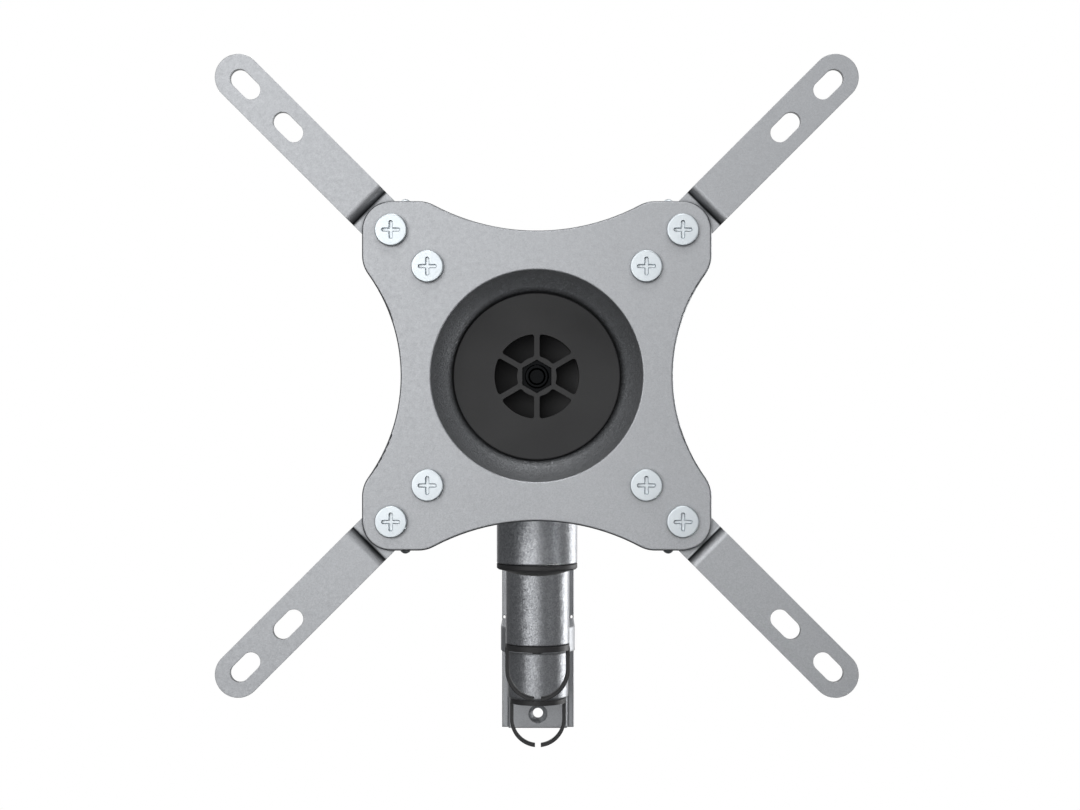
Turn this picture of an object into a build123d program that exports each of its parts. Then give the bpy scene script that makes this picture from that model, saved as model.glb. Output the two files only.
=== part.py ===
import os
from math import atan, cos, radians, sin, sqrt, tan

from build123d import *

os.makedirs("parts", exist_ok=True)

# Frame: the origin is on the wall, midway between the two wall screws
# X is to the right, Y is into the wall, Z is up, and all sizes are in mm

# Main places
wall_joint_y = -37.5
link_length = 150.0
elbow_y = wall_joint_y - link_length
head_y = elbow_y - link_length
screen_reach = 61.0
plate_y = head_y - screen_reach

# Barrels and joint levels
barrel_r = 15.0
elbow_barrel_r = 14.2
wall_barrel_r = 15.75
barrel_h = 46.0
wall_barrel_h = 44.0
rear_barrel_h = 36.9
flange_t = 1.4
wall_barrel_z = -39.1
rear_arm_z = wall_barrel_z + wall_barrel_h + flange_t
front_arm_z = rear_arm_z + barrel_h + flange_t
head_z = front_arm_z + barrel_h + flange_t
neck_drop = 1.4
screen_z = head_z + barrel_h / 2 - neck_drop
edge_round = 0.8

# Shafts, bushes and their fasteners
shaft_r = 8.0
shaft_fit = 0.05
bush_fit = 0.08
bush_r = 10.0
bush_h = 14.0
flange_r = 13.6
upper_flange_r = 11.9
upper_flange_t = 1.5
counter_r = 12.2
counter_depth = 12.0
foot_r = 11.0
foot_t = 4.0
foot_depth = 7.0
thread_r = 6.0
washer_r = 11.5
washer_t = 1.5
nut_af = 18.0
nut_t = 6.0
tip_gap = 2.7
fit = 0.05

# Plugs and cable rings
skirt_h = 2.2
skirt_t = 1.4
rim_t = 2.0
band_t = 2.5
dome_rise = 2.7
top_cap_t = 3.2
flat_cap_t = 3.4
ring_r = 14.4
ring_t = 1.75
ring_w = 4.0
ring_gap = 3.0
latch_r = 2.4
latch_h = 1.9
elbow_ring_z = -5.0
wall_ring_z = -50.4

# Arm bars
bar_w = 17.0
bar_groove = 3.5
bar_lip = 6.0
rear_bar_h = 32.0
front_bar_h = 38.0

# Wall plate and collar
wall_w = 38.4
wall_h = 120.0
raised_w = 31.5
raised_y = -6.0
wall_t = 2.5
wall_screw_z = 52.5
wall_screw_r = 2.75
seat_r = 4.8
seat_deep = 3.4
relief_x = 18.0
relief_z = -1.1
relief_w = 1.2
relief_h = 2.1
wall_round = 0.5
collar_r = 19.2
collar_low_z = -14.7
collar_h = 13.3

# Ball joint, all spheres share one middle in front of the screen plate
rim_r = 36.5
ball_r = 38.0
plate_t = 2.5
ball_gap = 0.3
ball_front = sqrt(ball_r**2 - rim_r**2)
ball_y = plate_y - ball_front
tilt_hole_r = 17.6
cup_r = ball_r - ball_gap
cup_face = ball_front + 12.7
pad_in_r = ball_r + plate_t + ball_gap
pad_t = 3.0
pad_angle = 35.0
seat_in_r = pad_in_r + pad_t + ball_gap
seat_edge_r = 27.0
seat_back = seat_in_r + 3.4
neck_r = 9.0
bolt_r = 3.0
bolt_fit = 0.08
slot_reach = 11.6

# Front cup pockets
pocket_out_r = 14.8
pocket_in_r = 6.9
spoke_w = 1.87
cup_wall = 2.2
spoke_reach = 40.0
pocket_round = 0.9
cup_round = 0.45
hex_af = 10.2
hex_depth = 7.2
cup_nut_af = 9.9
cup_nut_t = 4.8
cup_nut_collar_r = 4.2
cup_nut_h = 6.3
bolt_sunk = 3.9

# Screen plate outline
plate_w = 120.0
corner_r = 10.0
side_waist = 46.75
side_waist_r = 60.0
end_waist = 49.9
end_waist_r = 75.5
junction_r = 11.0
outer_hole = 50.0
inner_hole = 37.5
hole_r = 2.75
lip_round = 0.5

# Extension arms, measured along the diagonal from the plate's middle
arm_w = 16.0
arm_t = 2.5
outer_slot = 100.0
inner_slot = 85.3
slot_l = 12.0
slot_w = 6.45
end_margin = 3.45
joggle_gap = 0.59
joggle_run = 2.3
bend_in_r = 1.2
bend_out_r = 0.7
slot_out = outer_slot * sqrt(2)
slot_in = inner_slot * sqrt(2)
arm_in = inner_hole * sqrt(2)
arm_out = slot_out + end_margin
joggle_in = (plate_w / 2 - corner_r) * sqrt(2) + corner_r + joggle_gap

# Plate screws and wing nuts
head_r = 5.5
head_round = 0.4
head_h = 2.2
screw_r = 2.5
screw_l = 17.0
cross_l = 6.2
cross_w = 1.25
cross_depth = 1.3
wing_hub_r = 5.0
wing_hub_h = 5.5
wing_span = 25.6
wing_h = 10.5
wing_t = 4.0
wing_turn = 22.7

# Planes and axes that several pieces share
front = Plane(origin=(0, plate_y, screen_z), x_dir=(1, 0, 0), z_dir=(0, -1, 0))
ball_plane = Plane.XY.offset(screen_z)
ball_axis = Axis((0, 0, screen_z), (0, 1, 0))


# Wall plate, hat section with two formed screw seats
with BuildPart() as wall_plate:
    with BuildSketch(Plane.XY.offset(-wall_h / 2)):
        with BuildLine():
            flat = raised_w / 2
            half = wall_w / 2
            back = raised_y + wall_t
            Polyline(
                (-half, 0),
                (-half, -wall_t),
                (-flat, -wall_t),
                (-flat, raised_y),
                (flat, raised_y),
                (flat, -wall_t),
                (half, -wall_t),
                (half, 0),
                (flat - wall_t, 0),
                (flat - wall_t, back),
                (-flat + wall_t, back),
                (-flat + wall_t, 0),
                close=True,
            )
        make_face()
    extrude(amount=wall_h)
    bends = wall_plate.edges().filter_by(Axis.Z).group_by(Axis.Y)[0]
    fillet(bends, 1.4)
    flange_edges = wall_plate.edges().filter_by(Axis.Z).filter_by(lambda e: abs(e.center().X) > half - 0.1)
    fillet(flange_edges.filter_by(lambda e: e.center().Y < -wall_t + 0.1), wall_round)
    seats = [(0, wall_screw_z), (0, -wall_screw_z)]
    with BuildSketch(Plane.XZ.offset(-back)):
        with Locations(*seats):
            Circle(seat_r + 0.4)
    extrude(amount=back, taper=16)
    with BuildSketch(Plane.XZ.offset(-raised_y)):
        with Locations(*seats):
            Circle(seat_r)
    extrude(amount=-seat_deep, taper=30, mode=Mode.SUBTRACT)
    with BuildSketch(Plane.XZ):
        with Locations(*seats):
            Circle(wall_screw_r)
    extrude(amount=-raised_y, mode=Mode.SUBTRACT)
    with BuildSketch(Plane.XZ):
        with Locations((-relief_x, relief_z), (relief_x, relief_z)):
            SlotOverall(relief_h, relief_w, rotation=90)
    extrude(amount=-raised_y, mode=Mode.SUBTRACT)
wall_plate.part.label = "wall_plate"
export_step(wall_plate.part, "parts/wall_plate.step")

# Wall collar, bent strap around the wall barrel
with BuildPart() as wall_collar:
    with BuildSketch(Plane.XY.offset(collar_low_z)):
        with Locations((0, wall_joint_y)):
            Circle(collar_r)
        side_y = (wall_joint_y - wall_t) / 2
        with Locations((0, side_y)):
            Rectangle(2 * collar_r, -wall_t - wall_joint_y)
        with Locations((0, wall_joint_y)):
            Circle(wall_barrel_r + fit, mode=Mode.SUBTRACT)
        with Locations((0, side_y)):
            Rectangle(2 * wall_barrel_r + 2 * fit, -wall_t - wall_joint_y, mode=Mode.SUBTRACT)
    extrude(amount=collar_h)
    rear_edges = wall_collar.edges().filter_by(Axis.X).group_by(Axis.Y)[-1]
    chamfer(rear_edges.group_by(Axis.Z)[-1], 2.2)
    rims = wall_collar.edges().filter_by(GeomType.CIRCLE).filter_by(lambda e: e.radius > collar_r - 1)
    fillet(rims, edge_round)
wall_collar.part.label = "wall_collar"
export_step(wall_collar.part, "parts/wall_collar.step")

# Wall barrel
with BuildPart() as wall_barrel:
    with BuildSketch(Plane.XY.offset(wall_barrel_z)):
        with Locations((0, wall_joint_y)):
            Circle(wall_barrel_r)
    extrude(amount=wall_barrel_h)
    fillet(wall_barrel.edges().group_by(Axis.Z)[0], 1.6)
    fillet(wall_barrel.edges().group_by(Axis.Z)[-1], edge_round)
    with BuildSketch(Plane.XY.offset(wall_barrel_z)):
        with Locations((0, wall_joint_y)):
            Circle(counter_r)
    extrude(amount=foot_depth, mode=Mode.SUBTRACT)
    with BuildSketch(Plane.XY.offset(wall_barrel_z)):
        with Locations((0, wall_joint_y)):
            Circle(shaft_r + shaft_fit)
    extrude(amount=wall_barrel_h, mode=Mode.SUBTRACT)
wall_barrel.part.label = "wall_barrel"
export_step(wall_barrel.part, "parts/wall_barrel.step")

# Arms: a grooved bar between two barrels
arms = [
    ("rear_arm", wall_joint_y, elbow_y, rear_arm_z, barrel_r, rear_barrel_h, elbow_barrel_r, rear_bar_h),
    ("front_arm", elbow_y, head_y, front_arm_z, barrel_r, barrel_h, barrel_r, front_bar_h),
]
for name, rear_y, front_y, low_z, rear_r, rear_h, front_r, bar_h in arms:
    with BuildPart() as arm:
        middle_z = low_z + rear_h / 2
        groove_h = bar_h - 2 * bar_lip
        with BuildSketch(Plane(origin=(0, rear_y, middle_z), x_dir=(1, 0, 0), z_dir=(0, -1, 0))):
            Rectangle(bar_w, bar_h)
            with Locations((bar_w / 2, 0), (-bar_w / 2, 0)):
                Rectangle(2 * bar_groove, groove_h, mode=Mode.SUBTRACT)
            fillet(vertices(), 1.6)
        extrude(amount=rear_y - front_y)
        with BuildSketch(Plane.XY.offset(low_z)):
            with Locations((0, rear_y)):
                Circle(rear_r)
        extrude(amount=rear_h)
        with BuildSketch(Plane.XY.offset(low_z)):
            with Locations((0, front_y)):
                Circle(front_r)
        extrude(amount=barrel_h)
        rings = arm.edges().filter_by(GeomType.CIRCLE).filter_by(lambda e: e.radius > elbow_barrel_r - 1)
        fillet(rings, edge_round)
        with BuildSketch(Plane.XY.offset(low_z)):
            with Locations((0, rear_y)):
                Circle(bush_r + fit)
        extrude(amount=rear_h, mode=Mode.SUBTRACT)
        with BuildSketch(Plane.XY.offset(low_z + rear_h - counter_depth)):
            with Locations((0, rear_y)):
                Circle(counter_r)
        extrude(amount=counter_depth, mode=Mode.SUBTRACT)
        with BuildSketch(Plane.XY.offset(low_z)):
            with Locations((0, front_y)):
                Circle(shaft_r + shaft_fit)
        extrude(amount=barrel_h, mode=Mode.SUBTRACT)
        with BuildSketch(Plane.XY.offset(low_z)):
            with Locations((0, front_y)):
                Circle(counter_r)
        extrude(amount=foot_depth, mode=Mode.SUBTRACT)
    arm.part.label = name
    export_step(arm.part, "parts/" + name + ".step")

# Joint hardware: shaft, washer and nut below, two bushes above
joints = [
    ("wall", "rear_arm", wall_joint_y, wall_barrel_z, rear_arm_z, rear_barrel_h),
    ("elbow", "front_arm", elbow_y, rear_arm_z, front_arm_z, barrel_h),
    ("head", "head", head_y, front_arm_z, head_z, barrel_h),
]
for name, upper, joint_y, low_z, bush_z, upper_h in joints:
    floor_z = bush_z + upper_h - counter_depth
    stack_z = floor_z + upper_flange_t
    tip_z = bush_z + upper_h - tip_gap
    foot_z = low_z + foot_depth
    with BuildPart() as shaft:
        with BuildSketch(Plane.XY.offset(foot_z - foot_t)):
            with Locations((0, joint_y)):
                Circle(foot_r)
        extrude(amount=foot_t)
        with BuildSketch(Plane.XY.offset(foot_z)):
            with Locations((0, joint_y)):
                Circle(shaft_r)
        extrude(amount=stack_z - foot_z)
        with BuildSketch(Plane.XY.offset(stack_z)):
            with Locations((0, joint_y)):
                Circle(thread_r)
        extrude(amount=tip_z - stack_z)
        chamfer(shaft.edges().group_by(Axis.Z)[-1], 0.8)
        chamfer(shaft.edges().group_by(Axis.Z)[0], 0.8)
        with BuildSketch(Plane.XY.offset(foot_z - foot_t)):
            with Locations((0, joint_y)):
                RegularPolygon(radius=4.0, side_count=6, major_radius=False)
        extrude(amount=foot_t - 1.2, mode=Mode.SUBTRACT)
    shaft.part.label = name + "_shaft"
    export_step(shaft.part, "parts/" + name + "_shaft.step")

    with BuildPart() as washer:
        with BuildSketch(Plane.XY.offset(stack_z)):
            with Locations((0, joint_y)):
                Circle(washer_r)
                Circle(thread_r + fit, mode=Mode.SUBTRACT)
        extrude(amount=washer_t)
        washer_rims = washer.edges().filter_by(GeomType.CIRCLE)
        chamfer(washer_rims.filter_by(lambda e: e.radius > washer_r - 1), 0.2)
    washer.part.label = name + "_washer"
    export_step(washer.part, "parts/" + name + "_washer.step")

    with BuildPart() as nut:
        with BuildSketch(Plane.XY.offset(stack_z + washer_t)):
            with Locations((0, joint_y)):
                RegularPolygon(radius=nut_af / 2, side_count=6, major_radius=False)
        extrude(amount=nut_t)
        with BuildSketch(Plane.XY.offset(stack_z + washer_t)):
            with Locations((0, joint_y)):
                Circle(nut_af / 2 + 1.1)
        extrude(amount=nut_t, mode=Mode.INTERSECT)
        with BuildSketch(Plane.XY.offset(stack_z + washer_t)):
            with Locations((0, joint_y)):
                Circle(thread_r + fit)
        extrude(amount=nut_t, mode=Mode.SUBTRACT)
    nut.part.label = name + "_nut"
    export_step(nut.part, "parts/" + name + "_nut.step")

    with BuildPart() as lower_bush:
        with BuildSketch(Plane.XY.offset(bush_z - flange_t)):
            with Locations((0, joint_y)):
                Circle(flange_r)
        extrude(amount=flange_t)
        with BuildSketch(Plane.XY.offset(bush_z)):
            with Locations((0, joint_y)):
                Circle(bush_r)
        extrude(amount=bush_h)
        with BuildSketch(Plane.XY.offset(bush_z - flange_t)):
            with Locations((0, joint_y)):
                Circle(shaft_r + bush_fit)
        extrude(amount=flange_t + bush_h, mode=Mode.SUBTRACT)
    lower_bush.part.label = upper + "_lower_bush"
    export_step(lower_bush.part, "parts/" + upper + "_lower_bush.step")

    with BuildPart() as upper_bush:
        top_bush_h = min(bush_h, upper_h - counter_depth - bush_h - 1)
        with BuildSketch(Plane.XY.offset(floor_z)):
            with Locations((0, joint_y)):
                Circle(upper_flange_r)
        extrude(amount=upper_flange_t)
        with BuildSketch(Plane.XY.offset(floor_z)):
            with Locations((0, joint_y)):
                Circle(bush_r)
        extrude(amount=-top_bush_h)
        with BuildSketch(Plane.XY.offset(floor_z - top_bush_h)):
            with Locations((0, joint_y)):
                Circle(shaft_r + bush_fit)
        extrude(amount=top_bush_h + upper_flange_t, mode=Mode.SUBTRACT)
    upper_bush.part.label = upper + "_upper_bush"
    export_step(upper_bush.part, "parts/" + upper + "_upper_bush.step")

# Plugs on top of the barrels
plugs = [
    ("rear_arm_cap", wall_joint_y, rear_arm_z + rear_barrel_h, flat_cap_t),
    ("front_arm_cap", elbow_y, front_arm_z + barrel_h, top_cap_t),
    ("head_cap", head_y, head_z + barrel_h, top_cap_t),
]
for name, joint_y, top_z, cap_t in plugs:
    with BuildPart() as plug:
        with BuildSketch(Plane.XY.offset(top_z)):
            with Locations((0, joint_y)):
                Circle(barrel_r)
        extrude(amount=cap_t)
        fillet(plug.edges().group_by(Axis.Z)[-1], 1.6)
        with BuildSketch(Plane.XY.offset(top_z)):
            with Locations((0, joint_y)):
                Circle(counter_r - fit)
        extrude(amount=-skirt_h)
        with BuildSketch(Plane.XY.offset(top_z - skirt_h)):
            with Locations((0, joint_y)):
                Circle(counter_r - skirt_t)
        extrude(amount=skirt_h + 0.6, mode=Mode.SUBTRACT)
    plug.part.label = name
    export_step(plug.part, "parts/" + name + ".step")

# Domed plug under the front arm's head joint
with BuildPart() as dome_cap:
    rim_z = front_arm_z - rim_t
    dome_edge = barrel_r - 1.2
    dome_r = (dome_edge**2 + dome_rise**2) / (2 * dome_rise)
    half_edge = dome_edge / 2
    half_z = rim_z - dome_rise + dome_r - sqrt(dome_r**2 - half_edge**2)
    with BuildSketch(Plane.YZ):
        with BuildLine():
            Polyline(
                (head_y, rim_z - dome_rise),
                (head_y, front_arm_z),
                (head_y - barrel_r, front_arm_z),
                (head_y - barrel_r, rim_z + 0.5),
                (head_y - barrel_r + 0.5, rim_z),
                (head_y - dome_edge, rim_z),
            )
            edge = (head_y - dome_edge, rim_z)
            ThreePointArc(edge, (head_y - half_edge, half_z), (head_y, rim_z - dome_rise))
        make_face()
    revolve(axis=Axis((0, head_y, 0), (0, 0, 1)))
    with BuildSketch(Plane.XY.offset(front_arm_z)):
        with Locations((0, head_y)):
            Circle(counter_r - fit)
    extrude(amount=skirt_h)
    with BuildSketch(Plane.XY.offset(front_arm_z - rim_t)):
        with Locations((0, head_y)):
            Circle(counter_r - skirt_t)
    extrude(amount=rim_t + skirt_h, mode=Mode.SUBTRACT)
dome_cap.part.label = "dome_cap"
export_step(dome_cap.part, "parts/dome_cap.step")

# Plugs with an open cable ring
rings = [
    ("elbow_clip_cap", elbow_y, rear_arm_z, elbow_barrel_r, elbow_ring_z),
    ("wall_clip_cap", wall_joint_y, wall_barrel_z, ring_r, wall_ring_z),
]
for name, joint_y, top_z, band_r, ring_z in rings:
    band_z = top_z - band_t
    with BuildPart() as clip:
        with BuildSketch(Plane.XZ.offset(-joint_y - ring_w / 2)):
            with Locations((0, ring_z)):
                Circle(ring_r)
            with Locations((0, (ring_z + band_z + 1) / 2)):
                Rectangle(2 * ring_r, band_z + 1 - ring_z)
            with Locations((0, ring_z)):
                Circle(ring_r - ring_t, mode=Mode.SUBTRACT)
            with Locations((0, ring_z + ring_r)):
                Rectangle(2 * ring_r - 2 * ring_t, 2 * ring_r, mode=Mode.SUBTRACT)
            with Locations((0, ring_z - ring_r)):
                Rectangle(ring_gap, 2 * ring_r, mode=Mode.SUBTRACT)
        extrude(amount=ring_w)
        ring_ends = clip.edges().filter_by(Axis.Z).filter_by(lambda e: abs(e.center().X) > ring_r - 2)
        chamfer(ring_ends, 0.3)
        with BuildSketch(Plane.XY.offset(band_z)):
            with Locations((0, joint_y)):
                Circle(band_r)
        extrude(amount=band_t)
        with BuildSketch(Plane.XY.offset(band_z)):
            with Locations((0, joint_y)):
                Circle(latch_r)
        extrude(amount=-latch_h)
        with BuildSketch(Plane.XY.offset(top_z)):
            with Locations((0, joint_y)):
                Circle(counter_r - fit)
        extrude(amount=skirt_h)
        with BuildSketch(Plane.XY.offset(top_z)):
            with Locations((0, joint_y)):
                Circle(counter_r - skirt_t)
        extrude(amount=skirt_h, mode=Mode.SUBTRACT)
    clip.part.label = name
    export_step(clip.part, "parts/" + name + ".step")

# Head: barrel, neck and dished seat
with BuildPart() as head:
    with BuildSketch(Plane.XY.offset(head_z)):
        with Locations((0, head_y)):
            Circle(barrel_r)
    extrude(amount=barrel_h)
    fillet(head.edges().group_by(Axis.Z)[0], edge_round)
    fillet(head.edges().group_by(Axis.Z)[-1], edge_round)
    seat_edge_y = sqrt(seat_in_r**2 - seat_edge_r**2)
    with BuildSketch(ball_plane):
        with BuildLine():
            Polyline(
                (0, head_y),
                (neck_r, head_y),
                (neck_r, ball_y + seat_back + 3.0),
                (neck_r + 3.0, ball_y + seat_back),
                (seat_edge_r, ball_y + seat_edge_y + 3.6),
                (seat_edge_r, ball_y + seat_edge_y),
            )
            edge = (seat_edge_r, ball_y + seat_edge_y)
            nose = (0, ball_y + seat_in_r)
            mid_a = radians(19)
            mid = (seat_in_r * sin(mid_a), ball_y + seat_in_r * cos(mid_a))
            ThreePointArc(edge, mid, nose)
            Line(nose, (0, head_y))
        make_face()
    revolve(axis=ball_axis)
    with BuildSketch(Plane.XY.offset(head_z)):
        with Locations((0, head_y)):
            Circle(bush_r + fit)
    extrude(amount=barrel_h, mode=Mode.SUBTRACT)
    with BuildSketch(Plane.XY.offset(head_z + barrel_h - counter_depth)):
        with Locations((0, head_y)):
            Circle(counter_r)
    extrude(amount=counter_depth, mode=Mode.SUBTRACT)
    with BuildSketch(Plane(origin=(0, head_y, screen_z), x_dir=(1, 0, 0), z_dir=(0, -1, 0))):
        Circle(bolt_r + bolt_fit)
    extrude(amount=screen_reach, mode=Mode.SUBTRACT)
    with BuildSketch(Plane(origin=(0, head_y, screen_z), x_dir=(1, 0, 0), z_dir=(0, -1, 0))):
        Circle(5.4)
    extrude(amount=bush_r + 3.6, mode=Mode.SUBTRACT)
head.part.label = "head"
export_step(head.part, "parts/head.step")

# Clamp bolt with its round head inside the head barrel's wall
bolt_back_y = head_y - bush_r - 0.3
bolt_tip_y = ball_y + cup_face + bolt_sunk
nut_y = ball_y + cup_face + hex_depth
with BuildPart() as clamp_bolt:
    with BuildSketch(Plane(origin=(0, bolt_back_y, screen_z), x_dir=(1, 0, 0), z_dir=(0, -1, 0))):
        Circle(5.0)
    extrude(amount=2.4)
    with BuildSketch(Plane(origin=(0, bolt_back_y, screen_z), x_dir=(1, 0, 0), z_dir=(0, -1, 0))):
        Circle(bolt_r)
    extrude(amount=bolt_back_y - bolt_tip_y)
    chamfer(clamp_bolt.edges().group_by(Axis.Y)[0], 0.6)
clamp_bolt.part.label = "clamp_bolt"
export_step(clamp_bolt.part, "parts/clamp_bolt.step")

with BuildPart() as clamp_washer:
    with BuildSketch(Plane(origin=(0, bolt_back_y - 2.4, screen_z), x_dir=(1, 0, 0), z_dir=(0, -1, 0))):
        Circle(5.2)
        Circle(bolt_r + fit, mode=Mode.SUBTRACT)
    extrude(amount=0.9)
clamp_washer.part.label = "clamp_washer"
export_step(clamp_washer.part, "parts/clamp_washer.step")

# Locking nut with its round nylon collar
with BuildPart() as clamp_nut:
    with BuildSketch(Plane(origin=(0, nut_y, screen_z), x_dir=(1, 0, 0), z_dir=(0, -1, 0))):
        RegularPolygon(radius=cup_nut_af / 2, side_count=6, major_radius=False, rotation=30)
    extrude(amount=cup_nut_t)
    with BuildSketch(Plane(origin=(0, nut_y, screen_z), x_dir=(1, 0, 0), z_dir=(0, -1, 0))):
        Circle(cup_nut_af / 2 + 0.55)
    extrude(amount=cup_nut_t, mode=Mode.INTERSECT)
    with BuildSketch(Plane(origin=(0, nut_y, screen_z), x_dir=(1, 0, 0), z_dir=(0, -1, 0))):
        Circle(cup_nut_collar_r)
    extrude(amount=cup_nut_h)
    fillet(clamp_nut.edges().group_by(Axis.Y)[0], 0.6)
    with BuildSketch(Plane(origin=(0, nut_y, screen_z), x_dir=(1, 0, 0), z_dir=(0, -1, 0))):
        Circle(bolt_r + fit)
    extrude(amount=cup_nut_h, mode=Mode.SUBTRACT)
clamp_nut.part.label = "clamp_nut"
export_step(clamp_nut.part, "parts/clamp_nut.step")

# Front cup with six pockets round a hexagon pocket
cup_plane = Plane(origin=(0, ball_y + cup_face, screen_z), x_dir=(1, 0, 0), z_dir=(0, -1, 0))
with BuildPart() as front_cup:
    cup_edge = sqrt(cup_r**2 - cup_face**2)
    with BuildSketch(ball_plane):
        with BuildLine():
            edge = (cup_edge, ball_y + cup_face)
            nose = (0, ball_y + cup_r)
            mid_a = radians(25)
            mid = (cup_r * sin(mid_a), ball_y + cup_r * cos(mid_a))
            ThreePointArc(edge, mid, nose)
            Line(nose, (0, ball_y + cup_face))
            Line((0, ball_y + cup_face), edge)
        make_face()
    revolve(axis=ball_axis)
    fillet(front_cup.edges().group_by(Axis.Y)[0], cup_round)
    with BuildPart(mode=Mode.SUBTRACT):
        with BuildSketch(cup_plane):
            Circle(pocket_out_r)
            Circle(pocket_in_r, mode=Mode.SUBTRACT)
            Rectangle(spoke_w, spoke_reach, mode=Mode.SUBTRACT)
            Rectangle(spoke_w, spoke_reach, rotation=60, mode=Mode.SUBTRACT)
            Rectangle(spoke_w, spoke_reach, rotation=-60, mode=Mode.SUBTRACT)
            fillet(vertices(), pocket_round)
        extrude(amount=-cup_r)
        with Locations((0, ball_y, screen_z)):
            Sphere(cup_r - cup_wall, mode=Mode.INTERSECT)
    with BuildSketch(cup_plane):
        RegularPolygon(radius=hex_af / 2, side_count=6, major_radius=False, rotation=30)
    extrude(amount=-hex_depth, mode=Mode.SUBTRACT)
    with BuildSketch(cup_plane):
        Circle(bolt_r + bolt_fit)
    extrude(amount=-cup_r, mode=Mode.SUBTRACT)
front_cup.part.label = "front_cup"
export_step(front_cup.part, "parts/front_cup.step")

# Rear pad, a thin spherical shell slotted for the bolt
with BuildPart() as rear_pad:
    with BuildSketch(ball_plane):
        pad_a = radians(pad_angle)
        half_a = pad_a / 2
        pad_out_r = pad_in_r + pad_t
        with BuildLine():
            in_edge = (pad_in_r * sin(pad_a), ball_y + pad_in_r * cos(pad_a))
            in_mid = (pad_in_r * sin(half_a), ball_y + pad_in_r * cos(half_a))
            in_nose = (0, ball_y + pad_in_r)
            out_edge = (pad_out_r * sin(pad_a), ball_y + pad_out_r * cos(pad_a))
            out_mid = (pad_out_r * sin(half_a), ball_y + pad_out_r * cos(half_a))
            out_nose = (0, ball_y + pad_out_r)
            ThreePointArc(in_edge, in_mid, in_nose)
            Line(in_nose, out_nose)
            ThreePointArc(out_nose, out_mid, out_edge)
            Line(out_edge, in_edge)
        make_face()
    revolve(axis=ball_axis)
    with BuildSketch(front):
        SlotCenterToCenter(2 * slot_reach, 2 * bolt_r + 0.8)
    extrude(amount=-screen_reach, mode=Mode.SUBTRACT)
rear_pad.part.label = "rear_pad"
export_step(rear_pad.part, "parts/rear_pad.step")

# Screen plate: concave outline, deep drawn bowl and eight screw holes
with BuildPart() as screen_plate:
    with Locations((0, ball_y, screen_z)):
        Sphere(ball_r + plate_t)
    with Locations((0, plate_y - ball_r, screen_z)):
        Box(3 * ball_r, 2 * ball_r, 3 * ball_r, mode=Mode.SUBTRACT)
    with BuildSketch(front):
        Rectangle(plate_w, plate_w)
        side_c = side_waist + side_waist_r
        end_c = end_waist + end_waist_r
        with Locations((side_c, 0), (-side_c, 0)):
            Circle(side_waist_r, mode=Mode.SUBTRACT)
        with Locations((0, end_c), (0, -end_c)):
            Circle(end_waist_r, mode=Mode.SUBTRACT)
        tips = vertices().filter_by(lambda v: abs(abs(v.X) - abs(v.Y)) < 1)
        fillet(tips, corner_r)
        join_half = sqrt(end_waist_r**2 - (end_c - plate_w / 2) ** 2)
        joins = vertices().filter_by(lambda v: min(abs(v.X), abs(v.Y)) < join_half + 1)
        fillet(joins, junction_r)
    extrude(amount=-plate_t)
    with Locations((0, ball_y, screen_z)):
        Sphere(ball_r, mode=Mode.SUBTRACT)
    with BuildSketch(front):
        Circle(tilt_hole_r)
    extrude(amount=-screen_reach, mode=Mode.SUBTRACT)
    lip = screen_plate.edges().filter_by(GeomType.CIRCLE).filter_by(lambda e: abs(e.radius - rim_r) < 0.05)
    fillet(lip, lip_round)
    back_lip = screen_plate.edges().filter_by(GeomType.CIRCLE)
    back_lip = back_lip.filter_by(lambda e: abs(e.arc_center.Y - plate_y - plate_t) < 0.1)
    back_lip = back_lip.filter_by(lambda e: abs(e.arc_center.X) < 1 and abs(e.arc_center.Z - screen_z) < 1)
    fillet(back_lip, 2.5)
    holes = [(sx * h, sy * h) for h in (outer_hole, inner_hole) for sx in (-1, 1) for sy in (-1, 1)]
    with BuildSketch(front):
        with Locations(*holes):
            Circle(hole_r)
    extrude(amount=-plate_t, mode=Mode.SUBTRACT)
    outline = screen_plate.faces().sort_by(Axis.Y)[0].outer_wire().edges()
    fillet(outline, 0.7)
screen_plate.part.label = "screen_plate"
export_step(screen_plate.part, "parts/screen_plate.step")

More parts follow.
